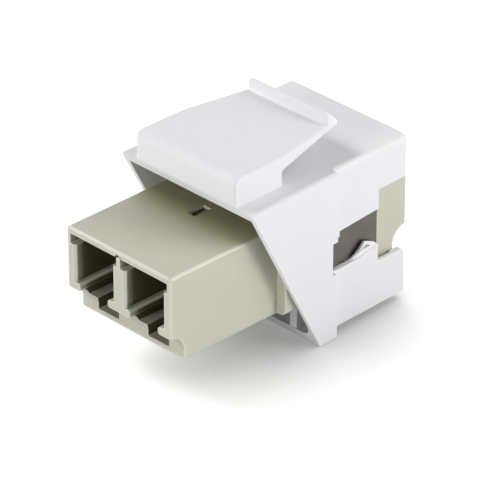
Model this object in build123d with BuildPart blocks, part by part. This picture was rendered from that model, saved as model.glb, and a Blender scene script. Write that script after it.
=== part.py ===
"""Keystone snap-in coupler for a pair of LC fibre plugs.

A white frame snaps into a keystone opening and carries a beige coupler body made of two
equal mouldings, welded back to back. Each moulding has two plug ports, and two ceramic split
sleeves lie between the mouldings. A folded steel clip locks the body in the frame.

The frame of the part: +X is across the two ports, +Y runs along the fibres from the cable
side to the face of the keystone, +Z is up, with the latch on top. The origin lies under the
middle of the coupler body, in the plane of the foot's underside. All sizes are millimetres.
"""

import os

from build123d import *

os.makedirs("parts", exist_ok=True)

# Coupler body
body_length = 28.8
body_corner = 0.3
end_edge = 0.25
end_recess = 1.7
side_wall = 0.45
flange_proud = 1.0
flange_thickness = 1.65
flange_height = 8.0
flange_corner = 0.8
flange_edge = 0.15

# Plug ports in the body
port_pitch = 6.25
plug_width = 4.58
plug_height = 4.64
mouth_lead = 0.25
top_wall = 0.62
centre_wall = 1.0
slot_mid_wall = 0.5
shoulder_slot_height = 0.98
shoulder_slot_depth = 6.0
rail_gap = 3.42
rail_thickness = 0.74
rail_edge = 0.25
rail_length = 9.5
lug_room_height = 1.05
catch_gap = 2.55
catch_height = 1.15
catch_length = 2.6
catch_pocket_length = 3.7
floor_wall = 0.5
tie_slot_width = 0.88
tie_slot_length = 1.92
tie_slot_from_end = 8.95
tie_slot_offset = 0.3
edge_notch_width = 0.75
edge_notch_depth = 0.3

# Sleeve holders and split sleeves
sleeve_length = 11.4
sleeve_bore = 1.25
sleeve_wall = 0.185
sleeve_split = 0.15
sleeve_play = 0.04
holder_wall = 0.6
holder_lip = 0.45
lip_play = 0.08
lip_flare = 25

# Keystone frame
body_proud_of_face = 0.95
shoulder_behind_face = 9.2
roof_reach = 10.7
foot_depth = 2.15
foot_drop = 0.7
face_height = 15.9
roof_above_body = 3.6
neck_wall = 0.61
face_inset = 0.2
wing_overhang = 0.55
wing_flare = 0.2
wing_wall = 0.6
roof_wall = 0.95
base_wall = 0.95
face_wall = 1.4
body_play = 0.1
cradle_play = 0.11
inner_corner = 1.5
rib_thickness = 0.84
rib_offset = 4.98
outer_corner = 0.5
face_corner = 0.5
tooth_width = 9.0
tooth_length = 2.2

# Side windows, as distances down from the body's top and along the fibres
window_top_front = 2.76
window_top_rear = 2.51
window_bottom = 6.52
sill_rise = 0.45
sill_rise_length = 2.4
notch_top = 3.31
notch_length = 1.37
open_end_top = 0.6
open_end_bottom = 7.85
open_end_length = 3.45
barb_height = 1.22
barb_length = 3.4
barb_sag = 0.2
barb_thickness = 0.3
barb_bar = 0.35
barb_crown_length = 1.1
barb_crown_drop = 0.44
barb_slit_length = 1.0

# Latch
panel_thickness = 1.6
latch_width = 12.2
latch_tip_width = 9.2
root_length = 5.6
root_front_rise = 2.35
arm_rise = 2.8
arm_root_thickness = 1.45
arm_tip_thickness = 0.95
arm_reach = 1.6
ridge_rise = 1.1
ridge_top = 0.25
ridge_corner = 0.4
root_front_corner = 0.7
latch_edge = 0.45
hinge_play = 0.04

# Retaining clip
clip_thickness = 0.2
clip_play = 0.03
clip_length = 8.1
clip_from_flange = 0.65
clip_before_tab = 1.46
clip_below_tab = 0.7
tab_length = 3.6
tab_slit = 0.1
tab_spread = 0.45
tab_gap = 0.1

# Sizes that follow from the ones above
shoulder_slot_width = port_pitch - slot_mid_wall
body_width = port_pitch + shoulder_slot_width + 2 * side_wall
body_height = top_wall + plug_height + rail_thickness + lug_room_height + catch_height + floor_wall
sleeve_outer = sleeve_bore + 2 * sleeve_wall
holder_bore = sleeve_outer + 2 * sleeve_play
clip_inner = body_width / 2 + clip_play
clip_outer = clip_inner + clip_thickness
cradle_width = 2 * (clip_outer + cradle_play)
neck_width = cradle_width + 2 * neck_wall
face_width = neck_width - 2 * face_inset
wing_rear_width = neck_width + 2 * wing_overhang
wing_front_width = wing_rear_width + 2 * wing_flare

# Levels and stations that follow
body_bottom = foot_drop + face_height - roof_above_body - body_height
body_top = body_bottom + body_height
fibre_level = body_top - top_wall - plug_height / 2
roof_top = body_top + roof_above_body
roof_under = roof_top - roof_wall
base_top = base_wall
rail_top = body_top - top_wall - plug_height
rail_bottom = rail_top - rail_thickness
lug_bottom = rail_bottom - lug_room_height
pocket_bottom = body_bottom + floor_wall
port_end = -body_length / 2
face_y = body_length / 2 - body_proud_of_face
shoulder_y = face_y - shoulder_behind_face
roof_front = shoulder_y - roof_reach
foot_front = shoulder_y - foot_depth
stop_y = flange_thickness + body_play
root_rear = roof_front + root_length
ridge_y = shoulder_y + panel_thickness
tip_y = ridge_y + arm_reach
clip_front = flange_thickness + clip_from_flange
clip_top = body_top + clip_play + clip_thickness
tab_front = clip_front + clip_before_tab
tab_top = body_top - window_top_front - tab_gap
tab_bottom = body_top - window_bottom + tab_gap
clip_bottom = tab_bottom - tab_slit - clip_below_tab
notch_front = tab_front - tab_gap
window_front = notch_front + notch_length
arm_top = roof_top + arm_rise
arm_under = arm_top - arm_root_thickness
hinge_y = root_rear + arm_root_thickness / 4
hinge_z = arm_top - arm_root_thickness / 2
port_places = (-port_pitch / 2, port_pitch / 2)


def housing_half():
    """One moulding of the coupler body, with its ports opening towards -Y."""
    with BuildPart() as housing:
        # Outer block, with rounded long edges
        with BuildSketch(Plane.XZ.offset(-port_end)):
            with Locations((0, body_bottom + body_height / 2)):
                RectangleRounded(body_width, body_height, body_corner)
        extrude(amount=port_end)
        fillet(housing.faces().sort_by(Axis.Y)[0].edges(), end_edge)

        # Flange ears on both sides, at the welded joint
        with BuildSketch(Plane.XZ):
            with Locations((0, body_bottom + flange_height / 2)):
                ears = Rectangle(body_width + 2 * flange_proud, flange_height)
            fillet(ears.vertices().group_by(Axis.Y)[0], flange_corner)
        extrude(amount=flange_thickness)
        ear_edges = housing.edges().filter_by(Axis.Z).filter_by(
            lambda edge: abs(edge.center().X) > body_width / 2 + flange_proud / 2
            and edge.center().Y < -flange_thickness / 2
        )
        fillet(ear_edges, flange_edge)

        # Latch side of the end face, set back with a hollow corner
        with BuildSketch(Plane.YZ):
            with BuildLine():
                Polyline(
                    (port_end - 1, rail_bottom),
                    (port_end - 1, body_bottom - 1),
                    (port_end + end_recess, body_bottom - 1),
                    (port_end + end_recess, rail_bottom - end_recess),
                )
                Line((port_end - 1, rail_bottom), (port_end, rail_bottom))
                CenterArc((port_end, rail_bottom - end_recess), end_recess, 0, 90)
            make_face()
        extrude(amount=body_width, both=True, mode=Mode.SUBTRACT)

        # Room for the body of each plug, with the wider shoulder slot above
        with BuildSketch(Plane.XZ.offset(-port_end)):
            for x in port_places:
                with Locations((x, fibre_level)):
                    Rectangle(plug_width, plug_height)
        extrude(amount=-(body_length / 2 - centre_wall), mode=Mode.SUBTRACT)
        with BuildSketch(Plane.XZ.offset(-port_end)):
            for x in port_places:
                with Locations((x, body_top - top_wall - shoulder_slot_height / 2)):
                    Rectangle(shoulder_slot_width, shoulder_slot_height)
        extrude(amount=-shoulder_slot_depth, mode=Mode.SUBTRACT)

        # Lead-in on both sides of each mouth, where the walls widen towards the end face
        with BuildSketch(Plane.XY.offset(rail_top)):
            for x in port_places:
                with BuildLine(mode=Mode.PRIVATE) as lead:
                    Polyline(
                        (x - plug_width / 2, port_end + mouth_lead),
                        (x - plug_width / 2 - mouth_lead, port_end),
                        (x + plug_width / 2 + mouth_lead, port_end),
                        (x + plug_width / 2, port_end + mouth_lead),
                        close=True,
                    )
                make_face(lead.edges())
        extrude(amount=plug_height - shoulder_slot_height, mode=Mode.SUBTRACT)

        # Room for the latch of each plug: the gap between the rails, the lug room below
        # them and the narrow slot between the catches
        with BuildSketch(Plane.XZ.offset(-port_end)):
            for x in port_places:
                with Locations((x, (rail_top + pocket_bottom) / 2)):
                    Rectangle(catch_gap, rail_top - pocket_bottom)
                with Locations((x, (rail_top + lug_bottom) / 2)):
                    Rectangle(rail_gap, rail_top - lug_bottom)
                with Locations((x, rail_bottom - lug_room_height / 2)):
                    Rectangle(plug_width, lug_room_height)
        extrude(amount=-(end_recess + rail_length), mode=Mode.SUBTRACT)
        rail_edges = housing.edges().filter_by(Axis.Y).filter_by(
            lambda edge: any(
                abs(abs(edge.center().X - x) - rail_gap / 2) < 1e-3
                and min(abs(edge.center().Z - rail_top), abs(edge.center().Z - rail_bottom)) < 1e-3
                for x in port_places
            )
        )
        fillet(rail_edges, rail_edge)

        # Pocket behind the catches, where the lugs of a plug spring out
        with BuildSketch(Plane.XZ.offset(-port_end - end_recess - catch_length)):
            for x in port_places:
                with Locations((x, (rail_bottom + pocket_bottom) / 2)):
                    Rectangle(plug_width, rail_bottom - pocket_bottom)
        extrude(amount=-catch_pocket_length, mode=Mode.SUBTRACT)

        # Tie slot through the top wall, and the notch in its edge over the middle wall
        with BuildSketch(Plane.XY.offset(body_top)):
            with Locations((-tie_slot_offset, port_end + tie_slot_from_end + tie_slot_length / 2)):
                Rectangle(tie_slot_width, tie_slot_length)
        extrude(amount=-top_wall, mode=Mode.SUBTRACT)
        with BuildSketch(Plane.XZ.offset(-port_end)):
            with Locations((0, body_top - top_wall + edge_notch_depth / 2)):
                Rectangle(edge_notch_width, edge_notch_depth)
        extrude(amount=-edge_notch_depth, mode=Mode.SUBTRACT)

        # Holder tubes for the split sleeves, each with a lip that flares towards its mouth
        sleeve_room = sleeve_length / 2 + sleeve_play
        with BuildSketch(Plane.XZ):
            for x in port_places:
                with Locations((x, fibre_level)):
                    Circle(holder_bore / 2 + holder_wall)
        extrude(amount=sleeve_room + holder_lip)
        with BuildSketch(Plane.XZ):
            for x in port_places:
                with Locations((x, fibre_level)):
                    Circle(holder_bore / 2)
        extrude(amount=sleeve_room, mode=Mode.SUBTRACT)
        with BuildSketch(Plane.XZ.offset(sleeve_room)):
            for x in port_places:
                with Locations((x, fibre_level)):
                    Circle(sleeve_bore / 2 + lip_play)
        extrude(amount=holder_lip, taper=-lip_flare, mode=Mode.SUBTRACT)
    return housing.part


port_housing = housing_half()
port_housing.label = "port_housing"
export_step(port_housing, "parts/port_housing.step")

face_housing = housing_half().rotate(Axis.Z, 180)
face_housing.label = "face_housing"
export_step(face_housing, "parts/face_housing.step")


# Split sleeves: ceramic tubes with one slit, which grip a ferrule from each side
for side, x in zip(("left", "right"), port_places):
    with BuildPart() as split_sleeve:
        with BuildSketch(Plane.XZ.offset(-sleeve_length / 2)):
            with Locations((x, fibre_level)):
                Circle(sleeve_outer / 2)
                Circle(sleeve_bore / 2, mode=Mode.SUBTRACT)
            with Locations((x, fibre_level + sleeve_outer / 2)):
                Rectangle(sleeve_split, sleeve_outer, mode=Mode.SUBTRACT)
        extrude(amount=sleeve_length)
    split_sleeve.part.label = f"split_sleeve_{side}"
    export_step(split_sleeve.part, f"parts/split_sleeve_{side}.step")


# Retaining clip: a strap over the body with two sides, each with a tab sprung outwards
with BuildPart() as clip:
    with BuildSketch(Plane.XZ.offset(-clip_front)):
        with BuildLine():
            strap = Polyline(
                (-clip_inner, clip_bottom),
                (-clip_inner, clip_top - clip_thickness),
                (clip_inner, clip_top - clip_thickness),
                (clip_inner, clip_bottom),
            )
            offset(strap, clip_thickness, side=Side.LEFT)
        make_face()
    extrude(amount=-clip_length)

    # Slit round three sides of each tab
    with BuildSketch(Plane.YZ):
        with Locations((tab_front + tab_length / 2, (tab_top + tab_bottom) / 2)):
            Rectangle(tab_length, tab_top - tab_bottom + 2 * tab_slit)
    extrude(amount=clip_outer + 1, both=True, mode=Mode.SUBTRACT)

    # Tabs, bent outwards towards their free ends, which are stepped as the windows are
    with BuildSketch(Plane.XY.offset(tab_bottom)):
        with BuildLine():
            Polyline(
                (clip_inner, tab_front + tab_length),
                (clip_outer, tab_front + tab_length),
                (clip_outer + tab_spread, tab_front),
                (clip_inner + tab_spread, tab_front),
                close=True,
            )
        make_face()
        mirror(about=Plane.YZ)
    extrude(amount=tab_top - tab_bottom)
    with BuildSketch(Plane.YZ):
        with Locations((tab_front, body_top - notch_top - tab_gap)):
            Rectangle(notch_length, notch_top - window_top_front, align=Align.MIN)
    extrude(amount=clip_outer + 1, both=True, mode=Mode.SUBTRACT)
clip.part.label = "retaining_clip"
export_step(clip.part, "parts/retaining_clip.step")


# Root block of the latch, part of the frame's moulding, with the hollow that the arm turns in
with BuildPart() as latch_root:
    with BuildSketch(Plane.YZ):
        with BuildLine():
            Polyline(
                (roof_front, roof_top),
                (roof_front, roof_top + root_front_rise),
                (root_rear - arm_root_thickness / 4, arm_top),
                (root_rear, arm_top),
                (root_rear, roof_top),
                close=True,
            )
        root_face = make_face()
        front_top = root_face.vertices().group_by(Axis.X)[0].sort_by(Axis.Y)[-1]
        fillet(front_top, root_front_corner)
    extrude(amount=latch_width / 2, both=True)
    base_and_rear = latch_root.edges().filter_by(
        lambda edge: edge.center().Z < roof_top + 1e-3 or edge.center().Y > root_rear - 1e-3
    )
    fillet(latch_root.edges() - base_and_rear, latch_edge)
    with BuildSketch(Plane.YZ):
        with Locations((hinge_y, hinge_z)):
            Circle(arm_root_thickness / 2 + hinge_play)
    extrude(amount=latch_width, both=True, mode=Mode.SUBTRACT)


# Keystone frame: one white moulding round the body
with BuildPart() as frame:
    # Side outline, with the slanted front edge and the foot
    with BuildSketch(Plane.YZ):
        with BuildLine():
            Polyline(
                (roof_front, roof_top),
                (foot_front, 0),
                (shoulder_y, 0),
                (shoulder_y, foot_drop),
                (face_y, foot_drop),
                (face_y, roof_top),
                close=True,
            )
        make_face()
    extrude(amount=wing_front_width, both=True)

    # Plan outline: wings in front of the shoulder, and the neck that fills the opening
    with BuildSketch(Plane.XY):
        with BuildLine():
            Polyline(
                (0, roof_front),
                (wing_front_width / 2, roof_front),
                (wing_rear_width / 2, shoulder_y),
                (neck_width / 2, shoulder_y),
                (face_width / 2, face_y),
                (0, face_y),
                close=True,
            )
        make_face()
        mirror(about=Plane.YZ)
    extrude(amount=roof_top, mode=Mode.INTERSECT)

    # Rounded edges along both sides of the roof
    roof_edges = frame.faces().sort_by(Axis.Z)[-1].edges()
    fillet(roof_edges.filter_by(lambda edge: abs(edge.tangent_at(0.5).Y) > 0.9), outer_corner)

    # Front room between the wings, as far as the stop for the body's flange
    with BuildSketch(Plane.XZ.offset(-stop_y)):
        front_room_width = wing_front_width - 2 * wing_wall
        with Locations((0, (base_top + roof_under) / 2)):
            room = Rectangle(front_room_width, roof_under - base_top)
        fillet(room.vertices().group_by(Axis.Y)[0], inner_corner)
    extrude(amount=stop_y - roof_front, mode=Mode.SUBTRACT)

    # Cradle for the body and its clip behind the stop
    with BuildSketch(Plane.XZ.offset(-stop_y)):
        with Locations((0, (base_top + foot_drop + roof_under) / 2)):
            Rectangle(cradle_width, roof_under - base_top - foot_drop)
    extrude(amount=-(face_y - face_wall - stop_y), mode=Mode.SUBTRACT)
    with BuildSketch(Plane.XZ.offset(-stop_y)):
        with Locations((0, base_top + foot_drop / 2)):
            Rectangle(cradle_width, foot_drop)
    extrude(amount=-(shoulder_y - base_wall - stop_y), mode=Mode.SUBTRACT)
    with BuildSketch(Plane.XZ.offset(-face_y)):
        with Locations((0, body_bottom + body_height / 2)):
            Rectangle(body_width + 2 * body_play, body_height + 2 * body_play)
    extrude(amount=face_wall, mode=Mode.SUBTRACT)

    # Windows in both sides, open to the face
    with BuildSketch(Plane.YZ):
        with BuildLine():
            Polyline(
                (window_front, body_top - window_top_front),
                (window_front, body_top - notch_top),
                (notch_front, body_top - notch_top),
                (notch_front, body_top - window_bottom),
                (face_y - open_end_length - sill_rise_length, body_top - window_bottom),
                (face_y - open_end_length, body_top - window_bottom + sill_rise),
                (face_y - open_end_length, body_top - open_end_bottom),
                (face_y + 1, body_top - open_end_bottom),
                (face_y + 1, body_top - open_end_top),
                (face_y - open_end_length, body_top - open_end_top),
                (face_y - open_end_length, body_top - window_top_rear),
                close=True,
            )
        make_face()
    extrude(amount=wing_front_width, both=True, mode=Mode.SUBTRACT)
    lower_corners = frame.edges().filter_by(Axis.X).filter_by(
        lambda edge: edge.center().Y > face_y - 1e-3
        and abs(edge.center().Z - body_top + open_end_bottom) < 1e-3
    )
    fillet(lower_corners, face_corner)

    # Ribs that hold the body from below, and its strap from above
    rib_rear = face_y - face_wall / 2
    rib_base = (foot_drop + base_top) / 2
    rib_spans = ((rib_base, body_bottom - body_play), (clip_top + body_play, roof_under + roof_wall / 2))
    with BuildSketch(Plane.XZ.offset(-stop_y)):
        for low, high in rib_spans:
            for x in (-rib_offset, rib_offset):
                with Locations((x, (low + high) / 2)):
                    Rectangle(rib_thickness, high - low)
    extrude(amount=-(rib_rear - stop_y))

    # Barb in the window's lower edge, which presses on the clip: a bar bent over a thin gap
    sill = body_top - window_bottom
    barb_rear = face_y - open_end_length
    barb_front = barb_rear - barb_length
    crown_rear = barb_rear - sill_rise
    crown_front = crown_rear - barb_crown_length
    barb_top = sill + barb_height
    slit_bottom = sill + sill_rise + barb_sag / 2
    with BuildSketch(Plane.YZ.offset(cradle_width / 2)):
        with BuildLine():
            ThreePointArc(
                (barb_front, sill),
                ((barb_front + crown_front) / 2, (sill + barb_top) / 2 - barb_sag),
                (crown_front, barb_top),
            )
            Polyline(
                (crown_front, barb_top),
                (crown_rear, barb_top - barb_crown_drop),
                (barb_rear, sill + sill_rise),
                (barb_rear, sill - barb_bar),
                (barb_front, sill - barb_bar),
                (barb_front, sill),
            )
        make_face()
        with BuildLine():
            Polyline(
                (crown_front - barb_bar, slit_bottom),
                (crown_front - barb_bar + barb_slit_length, slit_bottom),
                (crown_front + barb_bar, barb_top - barb_bar - barb_sag / 2),
                close=True,
            )
        make_face(mode=Mode.SUBTRACT)
    barb = extrude(amount=barb_thickness)
    mirror(barb, about=Plane.YZ)

    # Fixed tooth under the neck, which hooks over the front of the panel
    with BuildSketch(Plane.YZ):
        with BuildLine():
            Polyline(
                (ridge_y, foot_drop + base_wall / 2),
                (ridge_y, 0),
                (ridge_y + tooth_length / 2, 0),
                (ridge_y + tooth_length, foot_drop + base_wall / 2),
                close=True,
            )
        make_face()
    extrude(amount=tooth_width / 2, both=True)

    # Root block of the latch
    add(latch_root.part)
frame.part.label = "keystone_frame"
export_step(frame.part, "parts/keystone_frame.step")


# Latch: the flexing arm, narrower towards its tip, with the ridge that catches the panel
with BuildPart() as latch:
    with BuildSketch(Plane.YZ):
        with BuildLine():
            Polyline(
                (hinge_y, arm_under),
                (tip_y, arm_top - arm_tip_thickness),
                (tip_y, arm_top),
                (ridge_y + ridge_top, arm_top + ridge_rise),
                (ridge_y, arm_top + ridge_rise),
                (ridge_y, arm_top),
                (hinge_y, arm_top),
            )
            CenterArc((hinge_y, hinge_z), arm_root_thickness / 2, 90, 180)
        make_face()
    extrude(amount=latch_width / 2, both=True)
    with BuildSketch(Plane.XY.offset(arm_under)):
        with BuildLine():
            Polyline(
                (0, hinge_y - arm_root_thickness / 2),
                (latch_width / 2, hinge_y - arm_root_thickness / 2),
                (latch_tip_width / 2, tip_y),
                (0, tip_y),
                close=True,
            )
        make_face()
        mirror(about=Plane.YZ)
    extrude(amount=arm_root_thickness + ridge_rise, mode=Mode.INTERSECT)
    side_edges = latch.edges().filter_by(lambda edge: abs(edge.tangent_at(0.5).X) < 0.9)
    fillet(side_edges.filter_by(lambda edge: abs(edge.center().Z - arm_top) < 1e-3), latch_edge)
    ridge_ends = latch.edges().filter_by(
        lambda edge: edge.center().Z > arm_top + ridge_rise / 4
        and abs(edge.tangent_at(0.5).X) < 0.9
        and abs(edge.tangent_at(0.5).Y) > 0.5
    )
    fillet(ridge_ends, ridge_corner)
latch.part.label = "keystone_latch"
export_step(latch.part, "parts/keystone_latch.step")
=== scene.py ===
"""Looks of a keystone coupler for a pair of LC fibre plugs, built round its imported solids."""

import math

import bmesh
import bpy
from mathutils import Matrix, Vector
from mathutils.bvhtree import BVHTree


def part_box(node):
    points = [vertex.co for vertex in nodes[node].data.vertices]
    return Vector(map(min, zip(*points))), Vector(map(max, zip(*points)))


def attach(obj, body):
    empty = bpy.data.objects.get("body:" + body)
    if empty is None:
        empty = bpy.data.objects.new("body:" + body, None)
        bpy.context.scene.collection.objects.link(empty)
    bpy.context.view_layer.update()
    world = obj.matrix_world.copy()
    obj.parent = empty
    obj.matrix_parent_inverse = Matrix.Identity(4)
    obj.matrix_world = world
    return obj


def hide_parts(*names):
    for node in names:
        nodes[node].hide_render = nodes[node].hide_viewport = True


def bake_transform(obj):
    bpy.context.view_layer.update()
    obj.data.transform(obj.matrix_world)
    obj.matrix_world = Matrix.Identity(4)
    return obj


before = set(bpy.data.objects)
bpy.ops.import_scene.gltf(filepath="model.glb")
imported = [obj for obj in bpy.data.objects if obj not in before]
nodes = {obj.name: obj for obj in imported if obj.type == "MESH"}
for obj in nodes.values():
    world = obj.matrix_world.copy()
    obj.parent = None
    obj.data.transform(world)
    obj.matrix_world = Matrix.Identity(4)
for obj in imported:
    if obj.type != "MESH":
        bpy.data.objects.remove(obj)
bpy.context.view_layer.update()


# The camera stands at the photograph's viewing angle: to the right of the ports, a third of a
# right angle above the table, and far enough away that the edges run almost parallel.
MM = 0.001
CAMERA_AZIMUTH = math.radians(45.575)
CAMERA_ELEVATION = math.radians(30.044)
CAMERA_DISTANCE = 352 * MM
CAMERA_AIM = Vector((6.89, -6.64, 13.90)) * MM
CAMERA_LENS = 311.6
CAMERA_SENSOR = 36
CAMERA_NEAREST = 0.01
CAMERA_FURTHEST = 20

view_back = Vector((
    math.sin(CAMERA_AZIMUTH) * math.cos(CAMERA_ELEVATION),
    -math.cos(CAMERA_AZIMUTH) * math.cos(CAMERA_ELEVATION),
    math.sin(CAMERA_ELEVATION),
))
camera = bpy.data.objects.new("camera", bpy.data.cameras.new("camera"))
camera.data.lens = CAMERA_LENS
camera.data.sensor_width = CAMERA_SENSOR
camera.data.clip_start = CAMERA_NEAREST
camera.data.clip_end = CAMERA_FURTHEST
camera.location = CAMERA_AIM + view_back * CAMERA_DISTANCE
camera.rotation_euler = (math.pi / 2 - CAMERA_ELEVATION, 0, CAMERA_AZIMUTH)
bpy.context.scene.collection.objects.link(camera)
bpy.context.scene.camera = camera
bpy.context.scene.view_settings.view_transform = "Standard"


# The studio is a white table that runs on into a white background. It keeps the object's shadow
# from the lamps, and a painted shadow, which is darkest close to the object and falls to its
# right. Five soft boxes stand round it in a dim room: name, azimuth, elevation, power.
TABLE_SIZE = 3.0
TABLE_COLOUR = (0.86, 0.86, 0.86, 1)
# The table's glow where it is seen directly, which brings it up to the background's white.
TABLE_LIFT = 0.55
# The painted shadow darkens the table's colour and glow by what closes in the table's view in
# this direction. It is full where the first share of that view is open, and ends at the second.
SHADOW_LEAN = (-0.71, 0.0, 0.70)
SHADOW_FULL, SHADOW_ENDS = 0.25, 0.72
SHADOW_REACH = 16 * MM
SHADOW_DARKEST = 0.40
SHADOW_SAMPLES = 16
ROOM_LIGHT = 0.1
SOFT_BOXES = (
    ("front_box", 0, 15, 1.55),
    ("right_box", 118, 18, 1.85),
    ("rim_box", 140, 38, 0.85),
    ("back_box", 190, 15, 0.70),
    ("left_box", -75, 40, 1.90),
)
BOX_SIZE = 0.30
BOX_DISTANCE = 0.6
BOX_AIM = Vector((4, -1, 9)) * MM


def place(tree, kind, sockets=None, **settings):
    """A shader node with its settings, whose sockets take values or other nodes' outputs."""
    made = tree.nodes.new(kind)
    for setting, value in settings.items():
        setattr(made, setting, value)
    for socket, value in (sockets or {}).items():
        if isinstance(value, bpy.types.NodeSocket):
            tree.links.new(value, made.inputs[socket])
        else:
            made.inputs[socket].default_value = value
    return made


def maths(tree, operation, *values, clamp=False):
    """The output of a Math node."""
    sockets = dict(enumerate(values))
    return place(tree, "ShaderNodeMath", sockets, operation=operation, use_clamp=clamp).outputs[0]


def ramp(tree, value, starts, full, low=0.0, high=1.0):
    """A value that goes from low to high while another one goes from starts to full."""
    return place(tree, "ShaderNodeMapRange", {
        "Value": value, "From Min": starts, "From Max": full, "To Min": low, "To Max": high,
    }).outputs[0]


def mixed(tree, share, colour, other_colour):
    """A colour that has this share of the other one."""
    sockets = {0: share, 6: colour, 7: other_colour}
    return place(tree, "ShaderNodeMix", sockets, data_type="RGBA").outputs[2]


def seen_directly(tree):
    """A value that is 1 for what the camera sees, also in a mirror or through glass, else 0."""
    paths = place(tree, "ShaderNodeLightPath").outputs
    seen = maths(tree, "MAXIMUM", paths["Is Camera Ray"], paths["Is Glossy Ray"])
    return maths(tree, "MAXIMUM", seen, paths["Is Transmission Ray"])


table_shape = bmesh.new()
bmesh.ops.create_grid(table_shape, x_segments=1, y_segments=1, size=TABLE_SIZE / 2)
table = bpy.data.objects.new("table", bpy.data.meshes.new("table"))
table_shape.to_mesh(table.data)
table_shape.free()
bpy.context.scene.collection.objects.link(table)

table_white = bpy.data.materials.new("table_white")
table_white.use_nodes = True
tree = table_white.node_tree
tree.nodes.clear()
# Painted shadow: the table's colour and its glow are darkened where the object closes in its view.
lean = place(tree, "ShaderNodeCombineXYZ", dict(enumerate(SHADOW_LEAN)))
open_above = place(
    tree, "ShaderNodeAmbientOcclusion", {"Distance": SHADOW_REACH, "Normal": lean.outputs[0]},
    samples=SHADOW_SAMPLES,
)
clear_of_painted_shadow = ramp(tree, open_above.outputs["AO"], SHADOW_FULL, SHADOW_ENDS, low=SHADOW_DARKEST)
shaded = mixed(tree, clear_of_painted_shadow, (0, 0, 0, 1), TABLE_COLOUR)
paper = place(tree, "ShaderNodeBsdfDiffuse", {"Color": shaded})
lift = maths(tree, "MULTIPLY", seen_directly(tree), TABLE_LIFT)
glow = place(tree, "ShaderNodeEmission", {"Strength": maths(tree, "MULTIPLY", lift, clear_of_painted_shadow)})
both = place(tree, "ShaderNodeAddShader", {0: paper.outputs[0], 1: glow.outputs[0]})
place(tree, "ShaderNodeOutputMaterial", {"Surface": both.outputs[0]})
table.data.materials.append(table_white)

world = bpy.data.worlds.new("studio")
world.use_nodes = True
tree = world.node_tree
background = tree.nodes["Background"]
background.inputs["Color"].default_value = (1, 1, 1, 1)
room = ramp(tree, seen_directly(tree), 0.0, 1.0, low=ROOM_LIGHT)
tree.links.new(room, background.inputs["Strength"])
bpy.context.scene.world = world

for name, azimuth, elevation, power in SOFT_BOXES:
    lamp = bpy.data.lights.new(name, "AREA")
    lamp.shape = "DISK"
    lamp.size = BOX_SIZE
    lamp.energy = power
    soft_box = bpy.data.objects.new(name, lamp)
    soft_box.visible_camera = False
    turn, rise = math.radians(azimuth), math.radians(elevation)
    towards = Vector((
        math.sin(turn) * math.cos(rise), -math.cos(turn) * math.cos(rise), math.sin(rise),
    ))
    soft_box.location = BOX_AIM + towards * BOX_DISTANCE
    soft_box.rotation_euler = (-towards).to_track_quat("-Z", "Y").to_euler()
    bpy.context.scene.collection.objects.link(soft_box)


# The two split sleeves are ground zirconia tubes with one slit, loose in their holders. They
# are glossy, faintly ivory, and have fine grinding rings round their bores.
CERAMIC_COLOUR = (0.82, 0.80, 0.74, 1)
CERAMIC_TINT = (0.86, 0.81, 0.70, 1)
CERAMIC_CLOUD, CERAMIC_DRIFT = 1.5 * MM, 0.6
CERAMIC_ROUGHNESS = 0.12
CERAMIC_IOR = 2.1
GRINDING_RING, GRINDING_DEPTH = 0.03 * MM, 0.002 * MM
# A wave texture's bands lie about this far apart at a scale of 1.
WAVE_BAND = 0.3


def group_of(name, inputs, outputs):
    """A node group with its sockets, and its input and output nodes' sockets."""
    group = bpy.data.node_groups.new(name, "ShaderNodeTree")
    for side, sockets in (("INPUT", inputs), ("OUTPUT", outputs)):
        for socket, kind in sockets.items():
            group.interface.new_socket(name=socket, in_out=side, socket_type=f"NodeSocket{kind}")
    given = group.nodes.new("NodeGroupInput").outputs
    wanted = group.nodes.new("NodeGroupOutput").inputs
    return group, given, wanted


def finish_of(name, roughness, metallic=0.0, **constants):
    """A new material with its plain values set on the shader, its tree and its position."""
    material = bpy.data.materials.new(name)
    material.use_nodes = True
    tree = material.node_tree
    shader = tree.nodes["Principled BSDF"]
    shader.inputs["Roughness"].default_value = roughness
    shader.inputs["Metallic"].default_value = metallic
    for socket, value in constants.items():
        shader.inputs[socket].default_value = value
    return material, tree, shader, tree.nodes.new("ShaderNodeTexCoord").outputs["Object"]


def dress(piece, material):
    """Gives a piece this one material."""
    piece.data.materials.clear()
    piece.data.materials.append(material)


# Soft clouds of tone that every real surface has: a colour that drifts a little to another.
# Nearly all of a noise texture lies between these two values.
NOISE_LOW, NOISE_HIGH = 0.3, 0.7

clouds, given, wanted = group_of(
    "tone_clouds",
    {
        "Position": "Vector", "Colour": "Color", "Other Colour": "Color", "Size": "Float",
        "Amount": "Float",
    },
    {"Colour": "Color"},
)
drift = place(clouds, "ShaderNodeTexNoise", {
    "Vector": given["Position"], "Scale": maths(clouds, "DIVIDE", 1.0, given["Size"]),
    "Detail": 3.0, "Roughness": 0.55,
})
share = ramp(clouds, drift.outputs[0], NOISE_LOW, NOISE_HIGH)
share = maths(clouds, "MULTIPLY", share, given["Amount"])
drifted = mixed(clouds, share, given["Colour"], given["Other Colour"])
clouds.links.new(drifted, wanted["Colour"])

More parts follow.
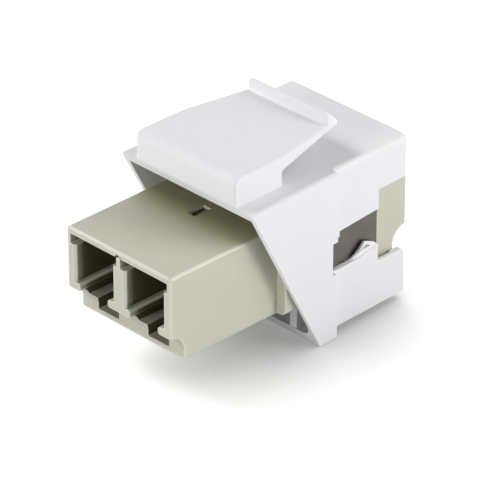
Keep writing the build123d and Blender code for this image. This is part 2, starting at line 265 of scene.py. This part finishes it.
ceramic, tree, shader, position = finish_of("white_ceramic", CERAMIC_ROUGHNESS, IOR=CERAMIC_IOR)
tone = place(tree, "ShaderNodeGroup", {
    "Position": position, "Colour": CERAMIC_COLOUR, "Other Colour": CERAMIC_TINT,
    "Size": CERAMIC_CLOUD, "Amount": CERAMIC_DRIFT,
}, node_tree=clouds)
rings = place(tree, "ShaderNodeTexWave", {
    "Vector": position, "Scale": WAVE_BAND / GRINDING_RING, "Distortion": 1.5, "Detail": 2.0,
}, bands_direction="Y")
ring_bump = place(tree, "ShaderNodeBump", {
    "Height": rings.outputs[1], "Strength": 0.15, "Distance": GRINDING_DEPTH,
})
tree.links.new(tone.outputs["Colour"], shader.inputs["Base Color"])
tree.links.new(ring_bump.outputs[0], shader.inputs["Normal"])
for sleeve in ("split_sleeve_left", "split_sleeve_right"):
    dress(nodes[sleeve], ceramic)


# The coupler body is two equal mouldings in beige plastic, welded back to back. Their plug ports
# are left as they came out of the mould, satin, with edges a few hundredths of a millimetre round.
BEIGE = (0.58, 0.58, 0.475, 1)
BEIGE_TINT = (0.61, 0.60, 0.505, 1)
# The colours of its painted edge highlight and of its painted shade in recesses.
BEIGE_HIGHLIGHT = (0.86, 0.86, 0.76, 1)
BEIGE_SHADE = (0.30, 0.29, 0.13, 1)
BEIGE_ROUGHNESS = 0.36
BEIGE_GRAIN = 0.05 * MM
HOUSING_EDGE = 0.06 * MM
HOUSING_HIGHLIGHT_RADIUS = 0.22 * MM
# What every skin over a CAD node shares: how it is cleaned, how its edges are rounded, how far
# off the CAD shape the rounding may leave a point, as a share of its size, which faces count
# as a round edge, and how much painted highlight these are marked for.
SAME_POINT = 0.0005 * MM
SAME_PLANE = math.radians(0.5)
SHARP_ANGLE = math.radians(35)
EDGE_SEGMENTS = 2
EDGE_OVERSHOOT = 0.4
ROUND_EDGE_WIDTH = 0.3 * MM
ROUND_EDGE_TURN = math.radians(8)
ROUND_EDGE_HIGHLIGHT_SHARE = 0.7


def soft_edged(node, name, edge):
    """A merged copy of a CAD node whose sharp edges are a little round, as a mould leaves them.

    Where short edges crowd a corner, the rounding overshoots, and is laid back on the CAD shape.
    The narrow faces of all round edges are marked for a painted highlight.
    """
    shape = bmesh.new()
    shape.from_mesh(nodes[node].data)
    bmesh.ops.remove_doubles(shape, verts=shape.verts, dist=SAME_POINT)
    bmesh.ops.dissolve_limit(
        shape, angle_limit=SAME_PLANE, verts=shape.verts, edges=shape.edges,
        use_dissolve_boundaries=False, delimit=set(),
    )
    skin = BVHTree.FromBMesh(shape)
    sharp = [each for each in shape.edges if each.calc_face_angle(0) > SHARP_ANGLE]
    bmesh.ops.bevel(
        shape, geom=sharp, offset=edge, segments=EDGE_SEGMENTS, profile=0.5, affect="EDGES",
        material=-1, clamp_overlap=False,
    )
    for vert in shape.verts:
        point, _, _, gap = skin.find_nearest(vert.co)
        if gap > edge * EDGE_OVERSHOOT:
            vert.co = point
    round_edge_highlight = shape.faces.layers.float.new("round_edge_highlight")
    for face in shape.faces:
        length = max(each.calc_length() for each in face.edges)
        turns = [each.calc_face_angle(0) for each in face.edges if each.calc_length() > length / 2]
        narrow = face.calc_area() < length * ROUND_EDGE_WIDTH
        face[round_edge_highlight] = ROUND_EDGE_HIGHLIGHT_SHARE if narrow and min(turns) > ROUND_EDGE_TURN else 0.0
    piece = bpy.data.objects.new(name, bpy.data.meshes.new(name))
    shape.to_mesh(piece.data)
    shape.free()
    bpy.context.scene.collection.objects.link(piece)
    piece.data.shade_smooth()
    shading = piece.modifiers.new("shading", "WEIGHTED_NORMAL")
    shading.keep_sharp = True
    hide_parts(node)
    return piece


# The texture of an eroded mould, at two sizes, and a polish that comes and goes.
COARSE_GRAIN_SIZE, COARSE_GRAIN_DEPTH = 7.0, 0.8
POLISH_PATCH_SIZE = 30.0
NOISE_MIDDLE = 0.5

grain, given, wanted = group_of(
    "mould_grain",
    {"Position": "Vector", "Size": "Float", "Roughness": "Float", "Spread": "Float"},
    {"Height": "Float", "Roughness": "Float"},
)
per_size = maths(grain, "DIVIDE", 1.0, given["Size"])
fine = place(grain, "ShaderNodeTexNoise", {
    "Vector": given["Position"], "Scale": per_size, "Detail": 2.0, "Roughness": 0.6,
})
coarse = place(grain, "ShaderNodeTexNoise", {
    "Vector": given["Position"], "Scale": maths(grain, "DIVIDE", per_size, COARSE_GRAIN_SIZE),
    "Detail": 2.0,
})
height = maths(grain, "MULTIPLY_ADD", coarse.outputs[0], COARSE_GRAIN_DEPTH, fine.outputs[0])
polish = place(grain, "ShaderNodeTexNoise", {
    "Vector": given["Position"], "Scale": maths(grain, "DIVIDE", per_size, POLISH_PATCH_SIZE),
    "Detail": 3.0,
})
centred = maths(grain, "SUBTRACT", polish.outputs[0], NOISE_MIDDLE)
gloss = maths(grain, "MULTIPLY_ADD", centred, given["Spread"], given["Roughness"])
grain.links.new(height, wanted["Height"])
grain.links.new(gloss, wanted["Roughness"])

# Edges lightened in the base colour, which on the plastics is a painted highlight: those marked
# as round, and sharp ones, found where the dot product of a rounded normal and the flat one falls
# from EDGE_STARTS to EDGE_FULL.
EDGE_STARTS, EDGE_FULL = 0.995, 0.85
EDGE_SAMPLES = 4

edges, given, wanted = group_of(
    "edge_lightening",
    {
        "Radius": "Float", "Colour": "Color", "Edge Colour": "Color", "Amount": "Float",
        "Round Edge": "Float",
    },
    {"Colour": "Color"},
)
rounded = place(edges, "ShaderNodeBevel", {"Radius": given["Radius"]}, samples=EDGE_SAMPLES)
flat = place(edges, "ShaderNodeNewGeometry").outputs["Normal"]
turned = place(
    edges, "ShaderNodeVectorMath", {0: rounded.outputs[0], 1: flat}, operation="DOT_PRODUCT"
)
sharp_edge = ramp(edges, turned.outputs["Value"], EDGE_STARTS, EDGE_FULL)
share = maths(edges, "MAXIMUM", sharp_edge, given["Round Edge"])
share = maths(edges, "MULTIPLY", share, given["Amount"])
lightened = mixed(edges, share, given["Colour"], given["Edge Colour"])
edges.links.new(lightened, wanted["Colour"])

# Painted shade in recesses, found by how much of the space in front of a point is closed in by
# the piece. Upward is how far this painted shade is kept to faces that look up.
RECESS_REACH = 11 * MM
RECESS_SAMPLES = 8


def not_facing_up(tree):
    """A value that is 1 on walls and undersides, and falls to 0 on what faces up."""
    normal = place(tree, "ShaderNodeNewGeometry").outputs["Normal"]
    facing = place(tree, "ShaderNodeSeparateXYZ", {0: normal})
    return maths(tree, "SUBTRACT", 1.0, facing.outputs[2], clamp=True)


recesses, given, wanted = group_of(
    "recess_painted_shade",
    {
        "Reach": "Float", "Colour": "Color", "Shade Colour": "Color", "Amount": "Float",
        "Starts": "Float", "Full": "Float", "Upward": "Float",
    },
    {"Colour": "Color", "Mask": "Float"},
)
open_share = place(
    recesses, "ShaderNodeAmbientOcclusion", {"Distance": given["Reach"]}, samples=RECESS_SAMPLES
)
mask = ramp(recesses, open_share.outputs["AO"], given["Starts"], given["Full"])
spared = maths(recesses, "MULTIPLY", not_facing_up(recesses), given["Upward"])
share = maths(recesses, "MULTIPLY", mask, given["Amount"])
share = maths(recesses, "MULTIPLY", share, maths(recesses, "SUBTRACT", 1.0, spared))
recesses.links.new(mixed(recesses, share, given["Colour"], given["Shade Colour"]), wanted["Colour"])
recesses.links.new(mask, wanted["Mask"])

# What the two plastics share.
PLASTIC_CLOUD, PLASTIC_DRIFT = 2.5 * MM, 0.7
# How strongly the plastics' edges get their painted highlight.
PLASTIC_HIGHLIGHT = 0.7
PLASTIC_IOR = 1.5
GRAIN_DEPTH, GRAIN_STRENGTH = 0.004 * MM, 0.35
POLISH_SPREAD = 0.18


def moulded(name, colours, roughness, grain_size, highlight_radius, **recess):
    """A moulded plastic: clouds of tone, the mould's grain, painted highlights on its edges and
    painted shade in its recesses.

    It gives back the material, its tree, its shader, its position and its recess node.
    """
    colour, tint, highlight_colour, shade_colour = colours
    material, tree, shader, position = finish_of(name, roughness, IOR=PLASTIC_IOR)
    tone = place(tree, "ShaderNodeGroup", {
        "Position": position, "Colour": colour, "Other Colour": tint, "Size": PLASTIC_CLOUD,
        "Amount": PLASTIC_DRIFT,
    }, node_tree=clouds)
    marked = place(tree, "ShaderNodeAttribute", attribute_name="round_edge_highlight")
    lightened_edges = place(tree, "ShaderNodeGroup", {
        "Radius": highlight_radius, "Colour": tone.outputs["Colour"], "Edge Colour": highlight_colour,
        "Amount": PLASTIC_HIGHLIGHT, "Round Edge": marked.outputs["Fac"],
    }, node_tree=edges)
    recess_shade = place(tree, "ShaderNodeGroup", {
        "Reach": RECESS_REACH, "Colour": lightened_edges.outputs["Colour"], "Shade Colour": shade_colour,
        **recess,
    }, node_tree=recesses)
    skin = place(tree, "ShaderNodeGroup", {
        "Position": position, "Size": grain_size, "Roughness": roughness, "Spread": POLISH_SPREAD,
    }, node_tree=grain)
    bump = place(tree, "ShaderNodeBump", {
        "Height": skin.outputs["Height"], "Strength": GRAIN_STRENGTH, "Distance": GRAIN_DEPTH,
    })
    tree.links.new(recess_shade.outputs["Colour"], shader.inputs["Base Color"])
    tree.links.new(skin.outputs["Roughness"], shader.inputs["Roughness"])
    tree.links.new(bump.outputs[0], shader.inputs["Normal"])
    return material, tree, shader, position, recess_shade


# Beige gets painted shade in recesses only on faces that look up, and painted edge highlights.
beige_plastic, tree, shader, position, recess_shade = moulded(
    "beige_plastic", (BEIGE, BEIGE_TINT, BEIGE_HIGHLIGHT, BEIGE_SHADE), BEIGE_ROUGHNESS, BEIGE_GRAIN,
    HOUSING_HIGHLIGHT_RADIUS, Amount=0.78, Starts=0.68, Full=0.47, Upward=1.0,
)

# Painted shade: the light dies off in the ports' first millimetre, so their walls and ceilings
# are painted dark from there on, but not what faces up. This painted shade stands in for the
# recess shade inside the body's outer walls. The body's two ends are equally far from its middle.
PORT_PAINTED_SHADE = (0.080, 0.070, 0.028, 1)
BODY_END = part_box("face_housing")[1][1]
PORT_SHADE_STARTS, PORT_SHADE_FULL = BODY_END - 0.1 * MM, BODY_END - 1.0 * MM
PORT_HALF_WIDTH = 6.2 * MM
PORT_FLOOR, PORT_CEILING = 4.55 * MM, 12.7 * MM

across, along, up = place(tree, "ShaderNodeSeparateXYZ", {0: position}).outputs
in_port = maths(tree, "LESS_THAN", maths(tree, "ABSOLUTE", across), PORT_HALF_WIDTH)
in_port = maths(tree, "MULTIPLY", in_port, maths(tree, "GREATER_THAN", up, PORT_FLOOR))
in_port = maths(tree, "MULTIPLY", in_port, maths(tree, "LESS_THAN", up, PORT_CEILING))
outside = maths(tree, "SUBTRACT", 1.0, in_port)
amount = maths(tree, "MULTIPLY", outside, recess_shade.inputs["Amount"].default_value)
tree.links.new(amount, recess_shade.inputs["Amount"])
depth = ramp(tree, maths(tree, "ABSOLUTE", along), PORT_SHADE_STARTS, PORT_SHADE_FULL)
shade = maths(tree, "MULTIPLY", in_port, depth)
shade = maths(tree, "MULTIPLY", shade, not_facing_up(tree))
shade = maths(tree, "MULTIPLY", shade, recess_shade.outputs["Mask"])
shaded = mixed(tree, shade, recess_shade.outputs["Colour"], PORT_PAINTED_SHADE)
tree.links.new(shaded, shader.inputs["Base Color"])
for node, name in (("port_housing", "port_moulding"), ("face_housing", "face_moulding")):
    moulding = soft_edged(node, name, HOUSING_EDGE)
    dress(moulding, beige_plastic)
    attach(moulding, "coupler")


# The retaining clip is a strap of rolled spring steel, 0.2 mm thick, folded over the body, with
# a tab sheared out of each side. Its skin keeps the fine lines of the rolling mill.
STEEL = (0.135, 0.129, 0.116, 1)
STEEL_STAIN = (0.105, 0.098, 0.084, 1)
STEEL_EDGE = (0.42, 0.41, 0.39, 1)
STEEL_CLOUD, STEEL_DRIFT = 1.8 * MM, 0.8
STEEL_EDGE_SHARE = 0.7
STEEL_ROUGHNESS = 0.34
STEEL_SMOOTHEST, STEEL_ROUGHEST = STEEL_ROUGHNESS - 0.08, STEEL_ROUGHNESS + 0.1
ROLLING_LINE, ROLLING_DEPTH = 0.03 * MM, 0.003 * MM
ROLLING_STRETCH = 0.03
CLIP_EDGE = 0.03 * MM

spring_steel, tree, shader, position = finish_of("spring_steel", STEEL_ROUGHNESS, metallic=1.0)
tone = place(tree, "ShaderNodeGroup", {
    "Position": position, "Colour": STEEL, "Other Colour": STEEL_STAIN, "Size": STEEL_CLOUD,
    "Amount": STEEL_DRIFT,
}, node_tree=clouds)
# The clip's edges are lighter in colour, towards STEEL_EDGE.
lightened_edges = place(tree, "ShaderNodeGroup", {
    "Radius": CLIP_EDGE * 2, "Colour": tone.outputs["Colour"], "Edge Colour": STEEL_EDGE,
    "Amount": STEEL_EDGE_SHARE,
}, node_tree=edges)
rolled = place(tree, "ShaderNodeMapping", {
    "Vector": position, "Scale": (1.0, ROLLING_STRETCH, 1.0),
})
lines = place(tree, "ShaderNodeTexNoise", {
    "Vector": rolled.outputs[0], "Scale": 1.0 / ROLLING_LINE, "Detail": 3.0, "Roughness": 0.6,
})
streaks = ramp(
    tree, lines.outputs[0], NOISE_LOW, NOISE_HIGH, low=STEEL_SMOOTHEST, high=STEEL_ROUGHEST
)
line_bump = place(tree, "ShaderNodeBump", {
    "Height": lines.outputs[0], "Strength": 0.3, "Distance": ROLLING_DEPTH,
})
tree.links.new(lightened_edges.outputs["Colour"], shader.inputs["Base Color"])
tree.links.new(streaks, shader.inputs["Roughness"])
tree.links.new(line_bump.outputs[0], shader.inputs["Normal"])
clip = soft_edged("retaining_clip", "clip_strap", CLIP_EDGE)
dress(clip, spring_steel)
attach(clip, "coupler")


# The keystone frame is one white moulding. It grips the coupler body and its clip from all sides,
# and its shoulders, foot and tooth hold it in the panel.
WHITE = (0.85, 0.85, 0.875, 1)
WHITE_TINT = (0.875, 0.875, 0.895, 1)
WHITE_HIGHLIGHT = (0.92, 0.92, 0.93, 1)
WHITE_SHADE = (0.25, 0.25, 0.26, 1)
WHITE_ROUGHNESS = 0.58
WHITE_GRAIN = 0.06 * MM
FRAME_EDGE = 0.07 * MM

# White gets painted shade where it is most closed in, on all faces, and painted edge highlights.
white_plastic = moulded(
    "white_plastic", (WHITE, WHITE_TINT, WHITE_HIGHLIGHT, WHITE_SHADE), WHITE_ROUGHNESS, WHITE_GRAIN,
    FRAME_EDGE * 2, Amount=0.3, Starts=0.22, Full=0.1, Upward=0.0,
)[0]
snap_frame = soft_edged("keystone_frame", "snap_frame", FRAME_EDGE)
dress(snap_frame, white_plastic)
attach(snap_frame, "coupler")


# The latch is moulded in one with the frame: a block on the roof runs on into a flexing arm,
# narrower and thinner towards its tip, with the ridge that snaps over the panel.

# The frame's solid has the block too, and the latch's skin covers it by LATCH_COVER. Lengths
# written here without MM are in millimetres.
LATCH_COVER = 0.015
LATCH_WIDTH = (12.2 + LATCH_COVER * 2) * MM
LATCH_TIP_WIDTH = (9.2 + LATCH_COVER * 2) * MM
BLOCK_FRONT, BLOCK_REAR = -6.45 - LATCH_COVER, -0.85 + LATCH_COVER
LATCH_TIP = 7.45
# Each point of the side outline, from the block's foot round over the ridge and back: Y and Z,
# with the radius of the edge across the latch there and of the side edges to the next point.
LATCH_OUTLINE = (
    (BLOCK_FRONT, 16.60, 0.0, 0.25),
    (BLOCK_FRONT, 19.45, 0.85, 0.35),
    (5.85, 19.40, 0.25, 0.18),
    (5.85, 20.50, 0.12, 0.18),
    (6.10, 20.50, 0.12, 0.18),
    (LATCH_TIP, 19.20, 0.14, 0.18),
    (LATCH_TIP, 18.87, 0.12, 0.18),
    (BLOCK_REAR, 17.93, 0.6, 0.2),
    (BLOCK_REAR, 16.60, 0.0, 0.0),
)
LATCH_ROUNDEST = 1.0
BEND_END = 3.2
RIDGE_END_RADIUS = 0.6
RIDGE_TOP = 20.5
LATCH_SEGMENTS = 5
LATCH_SHARP = math.radians(30)
BENDS = 12
RIDGE_CUTS = 8
NO_LENGTH = 1e-7


def cut_across(shape, point, normal):
    """Cuts the whole shape along a plane, and keeps both halves."""
    bmesh.ops.bisect_plane(
        shape, geom=shape.verts[:] + shape.edges[:] + shape.faces[:],
        plane_co=point, plane_no=normal, dist=NO_LENGTH,
    )


def outline_corner(point):
    """The number of the side outline's corner that is at this point."""
    return next(
        number for number, corner in enumerate(LATCH_OUTLINE)
        if (point.yz - Vector(corner[:2]) * MM).length < NO_LENGTH
    )


latch_shape = bmesh.new()
rounding = latch_shape.edges.layers.float.new("bevel_weight_edge")
near_side = [
    latch_shape.verts.new((-LATCH_WIDTH / 2, y * MM, z * MM)) for y, z, _, _ in LATCH_OUTLINE
]
grown = bmesh.ops.extrude_face_region(latch_shape, geom=[latch_shape.faces.new(near_side)])
far_side = [part for part in grown["geom"] if isinstance(part, bmesh.types.BMVert)]
bmesh.ops.translate(latch_shape, verts=far_side, vec=(LATCH_WIDTH, 0, 0))
bmesh.ops.recalc_face_normals(latch_shape, faces=latch_shape.faces)
for edge in latch_shape.edges:
    low, high = sorted(outline_corner(vert.co) for vert in edge.verts)
    if low == high:
        radius = LATCH_OUTLINE[low][2]
    else:
        closing = (low, high) == (0, len(LATCH_OUTLINE) - 1)
        radius = LATCH_OUTLINE[high if closing else low][3]
    edge[rounding] = radius / LATCH_ROUNDEST
cut_across(latch_shape, (0, BLOCK_REAR * MM, 0), (0, 1, 0))
for vert in latch_shape.verts:
    way = max(0.0, (vert.co.y / MM - BLOCK_REAR) / (LATCH_TIP - BLOCK_REAR))
    vert.co.x *= 1 + way * (LATCH_TIP_WIDTH / LATCH_WIDTH - 1)

latch = bpy.data.objects.new("latch_arm", bpy.data.meshes.new("latch_arm"))
latch_shape.to_mesh(latch.data)
latch_shape.free()
bpy.context.scene.collection.objects.link(latch)
edge_rounding = latch.modifiers.new("rounding", "BEVEL")
edge_rounding.width = LATCH_ROUNDEST * MM
edge_rounding.segments = LATCH_SEGMENTS
edge_rounding.limit_method = "WEIGHT"
edge_rounding.use_clamp_overlap = False
shown = latch.evaluated_get(bpy.context.evaluated_depsgraph_get())
rounded_mesh = bpy.data.meshes.new_from_object(shown)
latch.modifiers.clear()

# The arm gets rows of faces where it bends, and the ridge some that round off its two top ends.
latch_shape = bmesh.new()
latch_shape.from_mesh(rounded_mesh)
for cut in range(1, BENDS):
    y = BLOCK_REAR + (BEND_END - BLOCK_REAR) * cut / BENDS
    cut_across(latch_shape, (0, y * MM, 0), (0, 1, 0))
for cut in range(1, RIDGE_CUTS):
    z = RIDGE_TOP - RIDGE_END_RADIUS * (1 - math.sin(cut / RIDGE_CUTS * math.pi / 2))
    cut_across(latch_shape, (0, 0, z * MM), (0, 0, 1))
for vert in latch_shape.verts:
    rise = vert.co.z / MM - RIDGE_TOP + RIDGE_END_RADIUS
    if rise > 0:
        inward = RIDGE_END_RADIUS - math.sqrt(max(0.0, RIDGE_END_RADIUS**2 - rise**2))
        vert.co.x -= math.copysign(inward * MM, vert.co.x)
latch_shape.to_mesh(latch.data)
latch_shape.free()
latch.data.shade_smooth()
latch.data.set_sharp_from_angle(angle=LATCH_SHARP)
dress(latch, white_plastic)
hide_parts("keystone_latch")
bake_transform(latch)
